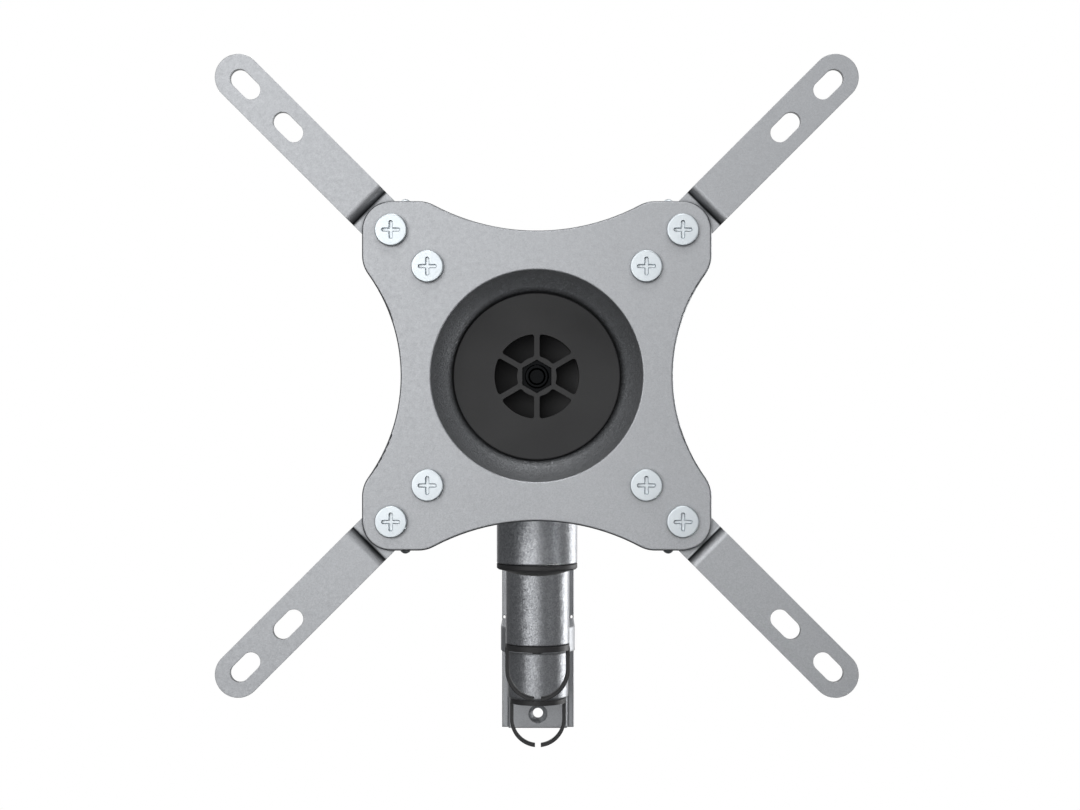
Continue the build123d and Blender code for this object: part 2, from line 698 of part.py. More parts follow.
# Extension arms, one bent strip with a joggle, placed on the four diagonals
diagonals = [
    ("arm_upper_right", 45),
    ("arm_upper_left", 135),
    ("arm_lower_left", 225),
    ("arm_lower_right", 315),
]
joggle_shift = arm_t * tan(atan(plate_t / joggle_run) / 2)
for name, angle in diagonals:
    a = radians(angle)
    along = (cos(a), 0, sin(a))
    arm_plane = Plane(origin=(0, plate_y, screen_z), x_dir=along, z_dir=(0, -1, 0))
    side_plane = Plane(origin=(0, plate_y, screen_z), x_dir=along, z_dir=(sin(a), 0, -cos(a)))
    arm_mid = (arm_in + arm_out) / 2
    with BuildPart() as strip:
        with BuildSketch(side_plane):
            with BuildLine():
                start_s = arm_in - arm_w
                end_s = arm_out + arm_w
                bend_1 = joggle_in
                bend_2 = joggle_in + joggle_run
                Polyline(
                    (start_s, -plate_t),
                    (bend_1, -plate_t),
                    (bend_2, 0),
                    (end_s, 0),
                    (end_s, -arm_t),
                    (bend_2 + joggle_shift, -arm_t),
                    (bend_1 + joggle_shift, -plate_t - arm_t),
                    (start_s, -plate_t - arm_t),
                    close=True,
                )
            make_face()
            bends = [
                (bend_1, bend_in_r),
                (bend_1 + joggle_shift, bend_in_r + arm_t),
                (bend_2, bend_out_r + arm_t),
                (bend_2 + joggle_shift, bend_out_r),
            ]
            for bend_s, bend_r in bends:
                fillet(vertices().filter_by(lambda v: abs(v.X - bend_s) < 0.01), bend_r)
        extrude(amount=arm_w, both=True)
        with BuildSketch(arm_plane):
            with Locations((arm_mid, 0)):
                SlotOverall(arm_out - arm_in + arm_w, arm_w)
        extrude(amount=-plate_t - arm_t, mode=Mode.INTERSECT)
        with BuildSketch(arm_plane):
            with Locations((slot_out, 0), (slot_in, 0)):
                SlotOverall(slot_l, slot_w)
            with Locations((outer_hole * sqrt(2), 0), (arm_in, 0)):
                Circle(hole_r)
        extrude(amount=-plate_t - arm_t, mode=Mode.SUBTRACT)
    strip.part.label = name
    export_step(strip.part, "parts/" + name + ".step")

# Plate screws, eight pan heads with upright cross recesses
with BuildPart() as plate_screws:
    with BuildSketch(front):
        with Locations(*holes):
            Circle(head_r)
    extrude(amount=head_h)
    tops = plate_screws.edges().group_by(Axis.Y)[0]
    fillet(tops, head_round)
    with BuildSketch(front):
        with Locations(*holes):
            Circle(screw_r)
    extrude(amount=-screw_l)
    chamfer(plate_screws.edges().group_by(Axis.Y)[-1], 0.5)
    with BuildSketch(front.offset(head_h)):
        with Locations(*holes):
            Rectangle(cross_l, cross_w)
            Rectangle(cross_w, cross_l)
    extrude(amount=-cross_depth, taper=12, mode=Mode.SUBTRACT)
plate_screws.part.label = "plate_screws"
export_step(plate_screws.part, "parts/plate_screws.step")

# Wing nuts behind the arms, wings leaning towards the middle
with BuildPart() as wing_nuts:
    nut_plane = front.offset(-plate_t - arm_t)
    for x, z in holes:
        turn = 90 + wing_turn if x * z > 0 else 90 - wing_turn
        seat_plane = Plane(nut_plane.from_local_coords((x, z, 0)), x_dir=(1, 0, 0), z_dir=(0, 1, 0))
        t = radians(turn)
        wing_plane = Plane(
            origin=nut_plane.from_local_coords((x, z, 0)),
            x_dir=(cos(t), 0, sin(t)),
            z_dir=(sin(t), 0, -cos(t)),
        )
        with BuildSketch(seat_plane):
            Circle(wing_hub_r)
        extrude(amount=wing_hub_h, taper=6)
        with BuildSketch(wing_plane):
            with BuildLine():
                Polyline(
                    (-3.0, -1.0),
                    (-wing_span / 2 + 4.0, -2.6),
                    (-wing_span / 2, -wing_h + 3.0),
                    (-wing_span / 2 + 1.2, -wing_h),
                    (-wing_span / 2 + 5.2, -wing_h),
                    (-3.6, -wing_hub_h + 0.6),
                    (3.6, -wing_hub_h + 0.6),
                    (wing_span / 2 - 5.2, -wing_h),
                    (wing_span / 2 - 1.2, -wing_h),
                    (wing_span / 2, -wing_h + 3.0),
                    (wing_span / 2 - 4.0, -2.6),
                    (3.0, -1.0),
                    close=True,
                )
            make_face()
            fillet(vertices(), 0.9)
        extrude(amount=wing_t / 2, both=True)
        with BuildSketch(seat_plane):
            Circle(screw_r + fit)
        extrude(amount=wing_h, mode=Mode.SUBTRACT)
wing_nuts.part.label = "wing_nuts"
export_step(wing_nuts.part, "parts/wing_nuts.step")
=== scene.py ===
import math

import bmesh
import bpy
import numpy as np
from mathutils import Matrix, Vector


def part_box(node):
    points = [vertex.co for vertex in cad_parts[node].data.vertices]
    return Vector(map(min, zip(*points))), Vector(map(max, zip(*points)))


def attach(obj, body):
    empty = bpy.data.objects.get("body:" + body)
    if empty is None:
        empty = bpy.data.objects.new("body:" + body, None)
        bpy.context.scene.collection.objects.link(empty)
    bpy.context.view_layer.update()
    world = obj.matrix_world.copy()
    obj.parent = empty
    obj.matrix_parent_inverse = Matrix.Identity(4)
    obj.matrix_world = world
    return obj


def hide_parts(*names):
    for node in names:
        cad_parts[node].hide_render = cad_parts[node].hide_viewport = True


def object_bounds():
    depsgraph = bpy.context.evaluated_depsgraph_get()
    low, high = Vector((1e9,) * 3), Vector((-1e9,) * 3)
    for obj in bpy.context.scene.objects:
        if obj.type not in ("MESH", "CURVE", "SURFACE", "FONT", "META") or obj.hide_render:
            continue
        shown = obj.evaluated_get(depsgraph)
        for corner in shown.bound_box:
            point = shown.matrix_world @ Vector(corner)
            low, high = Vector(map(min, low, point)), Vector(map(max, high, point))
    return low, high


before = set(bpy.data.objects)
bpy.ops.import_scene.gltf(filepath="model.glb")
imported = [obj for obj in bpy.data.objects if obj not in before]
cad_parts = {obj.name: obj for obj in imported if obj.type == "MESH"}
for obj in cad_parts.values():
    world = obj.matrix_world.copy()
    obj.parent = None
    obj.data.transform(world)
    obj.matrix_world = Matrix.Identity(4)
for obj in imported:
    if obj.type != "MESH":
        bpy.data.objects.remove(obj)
cad_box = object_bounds()


# The view: the photograph looks level along +Y, from 0.7 m in front of the
# screen plate and 10 mm under its middle, through a lens of 68 mm.
screen_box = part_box("screen_plate")
plate_front = float(screen_box[0][1])
plate_mid_z = 0.5 * (float(screen_box[0][2]) + float(screen_box[1][2]))
photo_camera = bpy.data.cameras.new("photo_camera")
photo_camera.sensor_width = 36.0
photo_camera.lens = 68.2
photo_camera.clip_end = 60.0
photo_view = bpy.data.objects.new("photo_view", photo_camera)
to_right, in_front, under_mid = 0.0011, 0.7017, 0.0100
photo_view.location = (to_right, plate_front - in_front, plate_mid_z - under_mid)
photo_view.rotation_euler = (math.radians(90.0), 0.0, 0.0)
bpy.context.collection.objects.link(photo_view)
bpy.context.scene.camera = photo_view


# Wall plate: a strip of 2.5 mm steel pressed to a hat section, with two
# screw seats formed into its raised middle. Like the collar, the arms and the
# screen plate, it is sprayed with silver metallic paint over a dark undercoat.
def linear(hex_colour):
    """sRGB hex to linear: c / 12.92 under 0.04045, else ((c + 0.055) / 1.055) to the power 2.4."""
    srgb = [int(hex_colour[i : i + 2], 16) / 255.0 for i in (1, 3, 5)]
    return tuple(c / 12.92 if c <= 0.04045 else ((c + 0.055) / 1.055) ** 2.4 for c in srgb) + (1.0,)


def add_node(tree, kind, settings=None, links=None):
    """Adds one node: settings are attributes or input values by name, links join (node, output) to inputs."""
    node = tree.nodes.new(kind)
    for key, value in (settings or {}).items():
        if isinstance(key, str) and key not in node.inputs:
            setattr(node, key, value)
        else:
            node.inputs[key].default_value = value
    for key, source in (links or {}).items():
        tree.links.new(source[0].outputs[source[1]], node.inputs[key])
    return node


def empty_material(name):
    """Makes a material whose node tree has nothing in it, and returns both."""
    material = bpy.data.materials.new(name)
    material.use_nodes = True
    material.node_tree.nodes.clear()
    return material, material.node_tree


def silver_metallic_paint(
    name,
    light,
    dark,
    rough,
    flake_mm,
    tilt,
    corner_shade,
    edge_mm=0.35,
    edge_shade=0.0,
    cut_edges=0.0,
    joggle_foot=False,
    dished_plate=False,
):
    """Sprayed silver paint: aluminium flakes in a clear binder give a soft metal gloss with a fine sparkle.

    The flakes are about 0.05 mm, too fine to show, so they are drawn at flake_mm, each leaning by up to
    tilt. A dark colour paints shade into the coat: painted shade by corner_shade in tight corners, painted
    shade by edge_shade on sharp edges that edge_mm rounds, painted shade by cut_edges on cut sides at
    right angles to the front, and painted shade with joggle_foot down the slope of an arm's joggle. With
    dished_plate it also paints shade round the plate's rounded rim and a painted shadow round the cup,
    and the flakes lean more in the drawn bowl.
    """
    material, tree = empty_material(name)
    place = add_node(tree, "ShaderNodeTexCoord")
    flakes = add_node(
        tree,
        "ShaderNodeTexVoronoi",
        {"Scale": 1000.0 / flake_mm, "Randomness": 1.0},
        {"Vector": (place, "Object")},
    )
    peel_mm, drift_mm = 1.6, 45.0
    peel = add_node(
        tree,
        "ShaderNodeTexNoise",
        {"Scale": 1000.0 / peel_mm, "Detail": 3.0, "Roughness": 0.6},
        {"Vector": (place, "Object")},
    )
    drift = add_node(
        tree,
        "ShaderNodeTexNoise",
        {"Scale": 1000.0 / drift_mm, "Detail": 2.0},
        {"Vector": (place, "Object")},
    )
    flake_split = add_node(tree, "ShaderNodeSeparateColor", {}, {"Color": (flakes, "Color")})
    patch = add_node(
        tree,
        "ShaderNodeMapRange",
        {"From Min": 0.3, "From Max": 0.7, "To Min": -0.10, "To Max": 0.10},
        {"Value": (drift, "Fac")},
    )
    blend = add_node(
        tree,
        "ShaderNodeMath",
        {"operation": "ADD", "use_clamp": True},
        {0: (flake_split, "Red"), 1: (patch, "Result")},
    )
    colour = add_node(
        tree,
        "ShaderNodeMix",
        {"data_type": "RGBA", 6: linear(dark), 7: linear(light)},
        {0: (blend, "Value")},
    )
    gloss = add_node(
        tree,
        "ShaderNodeMapRange",
        {"From Min": 0.3, "From Max": 0.7, "To Min": rough - 0.03, "To Max": rough + 0.04},
        {"Value": (peel, "Fac")},
    )

    # Each shade share says how much painted shade, in the one dark shade colour, one cause puts in, and the
    # largest one counts.
    # Painted shade in tight corners: where the ambient occlusion finds nearby surfaces, the colour goes dark.
    corner_reach = 0.0020
    openness = add_node(tree, "ShaderNodeAmbientOcclusion", {"samples": 8, "Distance": corner_reach})
    corner = add_node(
        tree,
        "ShaderNodeMapRange",
        {"From Min": 0.80, "From Max": 0.50, "To Min": 0.0, "To Max": corner_shade},
        {"Value": (openness, "AO")},
    )
    shape = add_node(tree, "ShaderNodeNewGeometry")
    shape_split = add_node(tree, "ShaderNodeSeparateXYZ", {}, {"Vector": (place, "Normal")})
    face_on = add_node(tree, "ShaderNodeMath", {"operation": "ABSOLUTE"}, {0: (shape_split, "Y")})
    # Painted shade on cut sides: faces at right angles to the front go darker by cut_edges.
    square = add_node(
        tree,
        "ShaderNodeMapRange",
        {"From Min": 0.35, "From Max": 0.15, "To Min": 0.0, "To Max": cut_edges},
        {"Value": (face_on, "Value")},
    )
    turned = add_node(
        tree,
        "ShaderNodeMapRange",
        {"From Min": 0.97, "From Max": 0.80, "To Min": 0.0, "To Max": 1.0},
        {"Value": (face_on, "Value")},
    )
    not_square = add_node(
        tree,
        "ShaderNodeMapRange",
        {"From Min": 0.35, "From Max": 0.60, "To Min": 0.0, "To Max": 1.0},
        {"Value": (face_on, "Value")},
    )
    slope = add_node(
        tree, "ShaderNodeMath", {"operation": "MULTIPLY"}, {0: (turned, "Result"), 1: (not_square, "Result")}
    )
    soft_edge = add_node(tree, "ShaderNodeBevel", {"samples": 4, "Radius": 0.001 * edge_mm})
    kept = add_node(
        tree,
        "ShaderNodeVectorMath",
        {"operation": "DOT_PRODUCT"},
        {0: (soft_edge, "Normal"), 1: (shape, "Normal")},
    )
    # Painted shade on sharp edges: the colour goes dark by edge_shade where the normal rounded over edge_mm
    # turns from the face's own.
    edge = add_node(
        tree,
        "ShaderNodeMapRange",
        {"From Min": 0.99, "From Max": 0.91, "To Min": 0.0, "To Max": edge_shade},
        {"Value": (kept, "Value")},
    )
    shade_shares = [(corner, "Result"), (square, "Result"), (edge, "Result")]
    if joggle_foot:
        # Painted shade down the joggle's slope, darkest at its foot.
        slope_top, slope_foot = plate_front + 0.0007, plate_front + 0.0020
        place_split = add_node(tree, "ShaderNodeSeparateXYZ", {}, {"Vector": (place, "Object")})
        depth = add_node(
            tree,
            "ShaderNodeMapRange",
            {"From Min": slope_top, "From Max": slope_foot, "To Min": 0.10, "To Max": 0.96},
            {"Value": (place_split, "Y")},
        )
        foot = add_node(
            tree, "ShaderNodeMath", {"operation": "MULTIPLY"}, {0: (slope, "Value"), 1: (depth, "Result")}
        )
        shade_shares.append((foot, "Value"))
    lean = None
    if dished_plate:
        bowl_rim_r, gap_shadow_r, steep_r = 0.0415, 0.0314, 0.0370
        flat_place = add_node(
            tree,
            "ShaderNodeVectorMath",
            {"operation": "MULTIPLY", 1: (1.0, 0.0, 1.0)},
            {0: (place, "Object")},
        )
        from_middle = add_node(
            tree,
            "ShaderNodeVectorMath",
            {"operation": "DISTANCE", 1: (0.0, 0.0, plate_mid_z)},
            {0: (flat_place, "Vector")},
        )
        off_bowl = add_node(
            tree,
            "ShaderNodeMapRange",
            {"From Min": bowl_rim_r, "From Max": bowl_rim_r + 0.0005, "To Min": 0.0, "To Max": 0.72},
            {"Value": (from_middle, "Value")},
        )
        # Painted shade on the plate's rounded rim, outside the bowl.
        rim = add_node(
            tree, "ShaderNodeMath", {"operation": "MULTIPLY"}, {0: (slope, "Value"), 1: (off_bowl, "Result")}
        )
        # Painted shadow in the gap round the nylon cup: the paint goes dark just outside the cup's edge.
        cup_gap_shadow = add_node(
            tree,
            "ShaderNodeMapRange",
            {"From Min": gap_shadow_r, "From Max": gap_shadow_r - 0.0016, "To Min": 0.0, "To Max": 0.8},
            {"Value": (from_middle, "Value")},
        )
        shade_shares += [(rim, "Value"), (cup_gap_shadow, "Result")]
        lean = add_node(
            tree,
            "ShaderNodeMapRange",
            {"From Min": steep_r, "From Max": steep_r - 0.0015, "To Min": 2.0 * tilt, "To Max": 14.0 * tilt},
            {"Value": (from_middle, "Value")},
        )
    painted_shade = shade_shares[0]
    for share in shade_shares[1:]:
        painted_shade = (add_node(tree, "ShaderNodeMath", {"operation": "MAXIMUM"}, {0: painted_shade, 1: share}), "Value")
    # The one dark colour that all painted shade in this paint goes to.
    shade_colour = "#26282a"
    coat = add_node(
        tree,
        "ShaderNodeMix",
        {"data_type": "RGBA", 7: linear(shade_colour)},
        {0: painted_shade, 6: (colour, 2)},
    )

    # The sprayed skin's orange peel bends the light a little, and the flakes lean from it.
    peel_height = 0.000012
    skin = add_node(
        tree,
        "ShaderNodeBump",
        {"Strength": 1.0, "Distance": peel_height},
        {"Height": (peel, "Fac"), "Normal": (soft_edge, "Normal")},
    )
    centred = add_node(
        tree, "ShaderNodeVectorMath", {"operation": "SUBTRACT", 1: (0.5, 0.5, 0.5)}, {0: (flakes, "Color")}
    )
    leaning = add_node(
        tree, "ShaderNodeVectorMath", {"operation": "SCALE", "Scale": 2.0 * tilt}, {0: (centred, "Vector")}
    )
    if lean is not None:
        tree.links.new(lean.outputs["Result"], leaning.inputs["Scale"])
    leant = add_node(
        tree, "ShaderNodeVectorMath", {"operation": "ADD"}, {0: (leaning, "Vector"), 1: (skin, "Normal")}
    )
    flake_normal = add_node(tree, "ShaderNodeVectorMath", {"operation": "NORMALIZE"}, {0: (leant, "Vector")})
    paint = add_node(
        tree,
        "ShaderNodeBsdfPrincipled",
        {"Metallic": 0.92, "Coat Weight": 0.12, "Coat Roughness": 0.22},
        {"Base Color": (coat, 2), "Roughness": (gloss, "Result"), "Normal": (flake_normal, "Vector")},
    )
    add_node(tree, "ShaderNodeOutputMaterial", {}, {"Surface": (paint, "BSDF")})
    return material


def dress(node_name, material):
    """Gives a CAD node's object one material in place of its slots."""
    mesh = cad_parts[node_name].data
    mesh.materials.clear()
    mesh.materials.append(material)


silver, silver_shade, silver_rough = "#b9bbbe", "#abadb0", 0.49
# The strap's paint gets strong painted shade in tight corners and on its rounded edges.
strap_paint = silver_metallic_paint(
    "silver_paint_on_strap",
    silver,
    silver_shade,
    silver_rough,
    flake_mm=0.36,
    tilt=0.022,
    corner_shade=0.9,
    edge_mm=1.0,
    edge_shade=0.8,
)
dress("wall_plate", strap_paint)


# Wall barrel and collar: a thick steel tube held by a bent strap whose two ends
# are welded to the plate's flanges. The tube's paint is a little darker and
# glossier than the strap's, with a coarser sparkle.
# The barrel's paint gets painted shade in tight corners, lighter than the strap's.
barrel_paint = silver_metallic_paint(
    "satin_barrel_paint", "#b2b4b7", "#94969a", 0.38, flake_mm=0.55, tilt=0.055, corner_shade=0.5
)
dress("wall_barrel", barrel_paint)
dress("wall_collar", strap_paint)


# Cable rings and plugs: moulded black nylon with a fine spark-eroded grain.
# The plugs snap into the barrels, and two of them carry an open ring that
# holds the cables under the arms.
def moulded_black_nylon(name, base, speck, rough, grain_mm):
    """Moulded black nylon: a dull, slightly grey skin with a fine grain from the mould."""
    material, tree = empty_material(name)
    place = add_node(tree, "ShaderNodeTexCoord")
    grain = add_node(
        tree,
        "ShaderNodeTexNoise",
        {"Scale": 1000.0 / grain_mm, "Detail": 4.0, "Roughness": 0.65},
        {"Vector": (place, "Object")},
    )
    flow_mm, grain_height = 22.0, 0.00008
    flow = add_node(
        tree,
        "ShaderNodeTexNoise",
        {"Scale": 1000.0 / flow_mm, "Detail": 1.5},
        {"Vector": (place, "Object")},
    )
    tone = add_node(
        tree,
        "ShaderNodeMix",
        {"data_type": "RGBA", 6: linear(base), 7: linear(speck)},
        {0: (grain, "Fac")},
    )
    gloss = add_node(
        tree,
        "ShaderNodeMapRange",
        {"From Min": 0.3, "From Max": 0.7, "To Min": rough - 0.04, "To Max": rough + 0.05},
        {"Value": (flow, "Fac")},
    )
    skin = add_node(
        tree, "ShaderNodeBump", {"Strength": 0.22, "Distance": grain_height}, {"Height": (grain, "Fac")}
    )
    nylon = add_node(
        tree,
        "ShaderNodeBsdfPrincipled",
        {"Metallic": 0.0, "IOR": 1.50},
        {"Base Color": (tone, 2), "Roughness": (gloss, "Result"), "Normal": (skin, "Normal")},
    )
    add_node(tree, "ShaderNodeOutputMaterial", {}, {"Surface": (nylon, "BSDF")})
    return material


black_nylon = moulded_black_nylon("moulded_black_nylon", "#262627", "#323233", 0.50, 0.35)
for plug in ("wall_clip_cap", "elbow_clip_cap", "dome_cap", "rear_arm_cap", "front_arm_cap", "head_cap"):
    dress(plug, black_nylon)


# Joint shafts, washers and nuts: turned and zinc plated steel inside the
# barrels. Only their ends would show with the plugs off.
def turned_zinc_steel(name, light, dark, rough, pitch_mm):
    """Zinc plated steel: bright and slightly blue, with tool marks pitch_mm apart and painted shade in inner
    corners and recesses.
    """
    material, tree = empty_material(name)
    place = add_node(tree, "ShaderNodeTexCoord")
    lines = add_node(
        tree,
        "ShaderNodeTexNoise",
        {"Scale": 1000.0 / pitch_mm, "Detail": 2.0},
        {"Vector": (place, "Object")},
    )
    bloom_mm, corner_reach, mark_height = 4.0, 0.0006, 0.00004
    bloom = add_node(
        tree,
        "ShaderNodeTexNoise",
        {"Scale": 1000.0 / bloom_mm, "Detail": 3.0},
        {"Vector": (place, "Object")},
    )
    tone = add_node(
        tree,
        "ShaderNodeMix",
        {"data_type": "RGBA", 6: linear(dark), 7: linear(light)},
        {0: (bloom, "Fac")},
    )
    gloss = add_node(
        tree,
        "ShaderNodeMapRange",
        {"From Min": 0.3, "From Max": 0.7, "To Min": rough - 0.05, "To Max": rough + 0.05},
        {"Value": (lines, "Fac")},
    )
    # Painted shade: inner corners and the screw recesses go darker where the ambient occlusion finds nearby
    # surfaces.
    openness = add_node(tree, "ShaderNodeAmbientOcclusion", {"samples": 8, "Distance": corner_reach})
    corner = add_node(
        tree,
        "ShaderNodeMapRange",
        {"From Min": 0.92, "From Max": 0.45, "To Min": 0.0, "To Max": 0.45},
        {"Value": (openness, "AO")},
    )
    recess_shade_colour = "#5d636b"
    recess_shaded_tone = add_node(
        tree,
        "ShaderNodeMix",
        {"data_type": "RGBA", 7: linear(recess_shade_colour)},
        {0: (corner, "Result"), 6: (tone, 2)},
    )
    skin = add_node(
        tree, "ShaderNodeBump", {"Strength": 0.12, "Distance": mark_height}, {"Height": (lines, "Fac")}
    )
    steel = add_node(
        tree,
        "ShaderNodeBsdfPrincipled",
        {"Metallic": 1.0},
        {"Base Color": (recess_shaded_tone, 2), "Roughness": (gloss, "Result"), "Normal": (skin, "Normal")},
    )
    add_node(tree, "ShaderNodeOutputMaterial", {}, {"Surface": (steel, "BSDF")})
    return material


shaft_zinc = turned_zinc_steel("turned_zinc_steel", "#c9ced3", "#a9afb5", 0.30, 0.3)
for joint in ("wall", "elbow", "head"):
    for piece_name in ("_shaft", "_washer", "_nut"):
        dress(joint + piece_name, shaft_zinc)


# Bushes and rear pad: dark acetal, moulded, a little waxy. The bushes' flanges
# show as thin dark rings between the barrels, and the pad sits behind the bowl.
def moulded_acetal(name, base, speck, rough):
    """Moulded acetal: dark grey and slightly cloudy, with a smooth waxy gloss."""
    material, tree = empty_material(name)
    place = add_node(tree, "ShaderNodeTexCoord")
    cloud_mm = 3.0
    cloud = add_node(
        tree,
        "ShaderNodeTexNoise",
        {"Scale": 1000.0 / cloud_mm, "Detail": 3.0},
        {"Vector": (place, "Object")},
    )
    tone = add_node(
        tree,
        "ShaderNodeMix",
        {"data_type": "RGBA", 6: linear(base), 7: linear(speck)},
        {0: (cloud, "Fac")},
    )
    gloss = add_node(
        tree,
        "ShaderNodeMapRange",
        {"From Min": 0.3, "From Max": 0.7, "To Min": rough - 0.04, "To Max": rough + 0.04},
        {"Value": (cloud, "Fac")},
    )
    acetal = add_node(
        tree,
        "ShaderNodeBsdfPrincipled",
        {"Metallic": 0.0, "IOR": 1.48},
        {"Base Color": (tone, 2), "Roughness": (gloss, "Result")},
    )
    add_node(tree, "ShaderNodeOutputMaterial", {}, {"Surface": (acetal, "BSDF")})
    return material


dark_acetal = moulded_acetal("moulded_dark_acetal", "#2b2c2d", "#36373a", 0.42)
for arm_name in ("rear_arm", "front_arm", "head"):
    dress(arm_name + "_lower_bush", dark_acetal)
    dress(arm_name + "_upper_bush", dark_acetal)
dress("rear_pad", dark_acetal)


# Arms and head: aluminium castings, painted like the wall barrel. Each arm is a
# bar with a barrel at both ends and long grooves in its sides that save metal,
# and the head is a barrel with a neck and a dished seat.
for casting in ("rear_arm", "front_arm", "head"):
    dress(casting, barrel_paint)


# Ball clamp: a bolt and a locking nut in black oxide steel hold a nylon cup in
# the plate's bowl. The cup has six pockets that keep its wall even.
def black_oxide_steel(name, base, worn, rough):
    """Black oxide steel: nearly black, oiled, with a faint grey where it has rubbed."""
    material, tree = empty_material(name)
    place = add_node(tree, "ShaderNodeTexCoord")
    rub_mm = 1.2
    rub = add_node(
        tree,
        "ShaderNodeTexNoise",
        {"Scale": 1000.0 / rub_mm, "Detail": 4.0},
        {"Vector": (place, "Object")},
    )
    tone = add_node(
        tree, "ShaderNodeMix", {"data_type": "RGBA", 6: linear(base), 7: linear(worn)}, {0: (rub, "Fac")}
    )
    gloss = add_node(
        tree,
        "ShaderNodeMapRange",
        {"From Min": 0.3, "From Max": 0.7, "To Min": rough - 0.06, "To Max": rough + 0.06},
        {"Value": (rub, "Fac")},
    )
    oxide = add_node(
        tree,
        "ShaderNodeBsdfPrincipled",
        {"Metallic": 1.0},
        {"Base Color": (tone, 2), "Roughness": (gloss, "Result")},
    )
    add_node(tree, "ShaderNodeOutputMaterial", {}, {"Surface": (oxide, "BSDF")})
    return material


oxide_steel = black_oxide_steel("black_oxide_steel", "#0a0a0b", "#151617", 0.28)
for clamp_piece in ("clamp_bolt", "clamp_washer", "clamp_nut"):
    dress(clamp_piece, oxide_steel)
cup_nylon = moulded_black_nylon("cup_black_nylon", "#202021", "#262627", 0.55, 0.5)
dress("front_cup", cup_nylon)


# Screen plate: 2.5 mm steel, cut with four hollow sides and deep drawn to a
# bowl in the middle, then sprayed silver.
# The plate's paint gets light painted shade in corners, painted shade on the rounded rim outside the bowl,
# and a painted shadow round the cup.
plate_paint = silver_metallic_paint(
    "silver_paint_on_plate",
    silver,
    silver_shade,
    silver_rough,
    flake_mm=0.36,
    tilt=0.022,
    corner_shade=0.25,
    dished_plate=True,
)
dress("screen_plate", plate_paint)


# Extension arms: 2.5 mm steel strips with two slots each and a joggle, so that
# the outer part is flush with the plate's front. Their cut sides and the slope
# of the joggle get painted shade, darkest at the joggle's foot.
arm_paint = silver_metallic_paint(
    "silver_paint_on_arm",
    silver,
    silver_shade,
    silver_rough,
    flake_mm=0.36,
    tilt=0.018,
    corner_shade=0.5,
    cut_edges=0.6,
    joggle_foot=True,
)
for corner in ("upper_left", "upper_right", "lower_left", "lower_right"):
    dress("arm_" + corner, arm_paint)


# Plate screws: cold headed steel M5 pan heads with a cross recess, white zinc
# plated, through the plate and the arms. Their threads show behind the wing nuts.
def grid_faces(rows, cols, first):
    """Quads of a grid of rows by cols whose columns close on themselves; its first point is number first."""
    index = first + np.arange(rows * cols).reshape(rows, cols)
    after = np.roll(index, -1, axis=1)
    return np.stack([index[:-1], after[:-1], after[1:], index[1:]], axis=-1).reshape(-1, 4)


def closed_grid(name, grids, caps, material, body):
    """One mesh of several grids of points (rows, cols, 3), each with its first and last row closed by a fan.

    caps holds the two middle points of each grid. A fan joins its middle to the row with one triangle a side.
    """
    points, quads, fans, first = [], [], [], 0
    for grid, (low_cap, high_cap) in zip(grids, caps):
        rows, cols = grid.shape[:2]
        points.append(np.concatenate([grid.reshape(-1, 3), [low_cap], [high_cap]]))
        quads.append(grid_faces(rows, cols, first))
        low_row = first + np.arange(cols)
        high_row = first + (rows - 1) * cols + np.arange(cols)
        low_mid = np.full(cols, first + rows * cols)
        fans.append(np.stack([low_mid, np.roll(low_row, -1), low_row], axis=-1))
        fans.append(np.stack([low_mid + 1, high_row, np.roll(high_row, -1)], axis=-1))
        first += rows * cols + 2
    points = np.concatenate(points)
    quads = np.concatenate(quads)
    fans = np.concatenate(fans)
    mesh = bpy.data.meshes.new(name)
    mesh.vertices.add(len(points))
    mesh.vertices.foreach_set("co", points.astype(np.float32).ravel())
    corners = np.concatenate([quads.ravel(), fans.ravel()])
    mesh.loops.add(len(corners))
    mesh.loops.foreach_set("vertex_index", corners.astype(np.int32))
    starts = np.concatenate([4 * np.arange(len(quads)), 4 * len(quads) + 3 * np.arange(len(fans))])
    mesh.polygons.add(len(starts))
    mesh.polygons.foreach_set("loop_start", starts.astype(np.int32))
    mesh.polygons.foreach_set("use_smooth", np.ones(len(starts), bool))
    mesh.update(calc_edges=True)
    mesh.validate()
    shell = bmesh.new()
    shell.from_mesh(mesh)
    bmesh.ops.recalc_face_normals(shell, faces=shell.faces)
    shell.to_mesh(mesh)
    shell.free()
    mesh.set_sharp_from_angle(angle=math.radians(38.0))
    mesh.materials.append(material)
    piece = bpy.data.objects.new(name, mesh)
    bpy.context.collection.objects.link(piece)
    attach(piece, body)
    return piece


def cross_outline(angle, half_bar, reach):
    """Radius of a cross with round bar ends, at each angle.

    With a the angle from the nearest bar, h half a bar's width and c the middle of its round end, it is
    h / sin a along a bar's side, and c cos a + sqrt(h^2 - c^2 sin^2 a) round its end.
    """
    near = np.abs((angle + np.pi / 4.0) % (np.pi / 2.0) - np.pi / 4.0)
    end_mid = reach - half_bar
    side = half_bar / np.maximum(np.sin(near), 1e-9)
    inside = np.clip(half_bar**2 - (end_mid * np.sin(near)) ** 2, 0.0, None)
    end = end_mid * np.cos(near) + np.sqrt(inside)
    return np.where(side * np.cos(near) > end_mid, end, side)


screw_head_h, screw_end = 0.00220, 0.01699
recess_deep = 0.00115


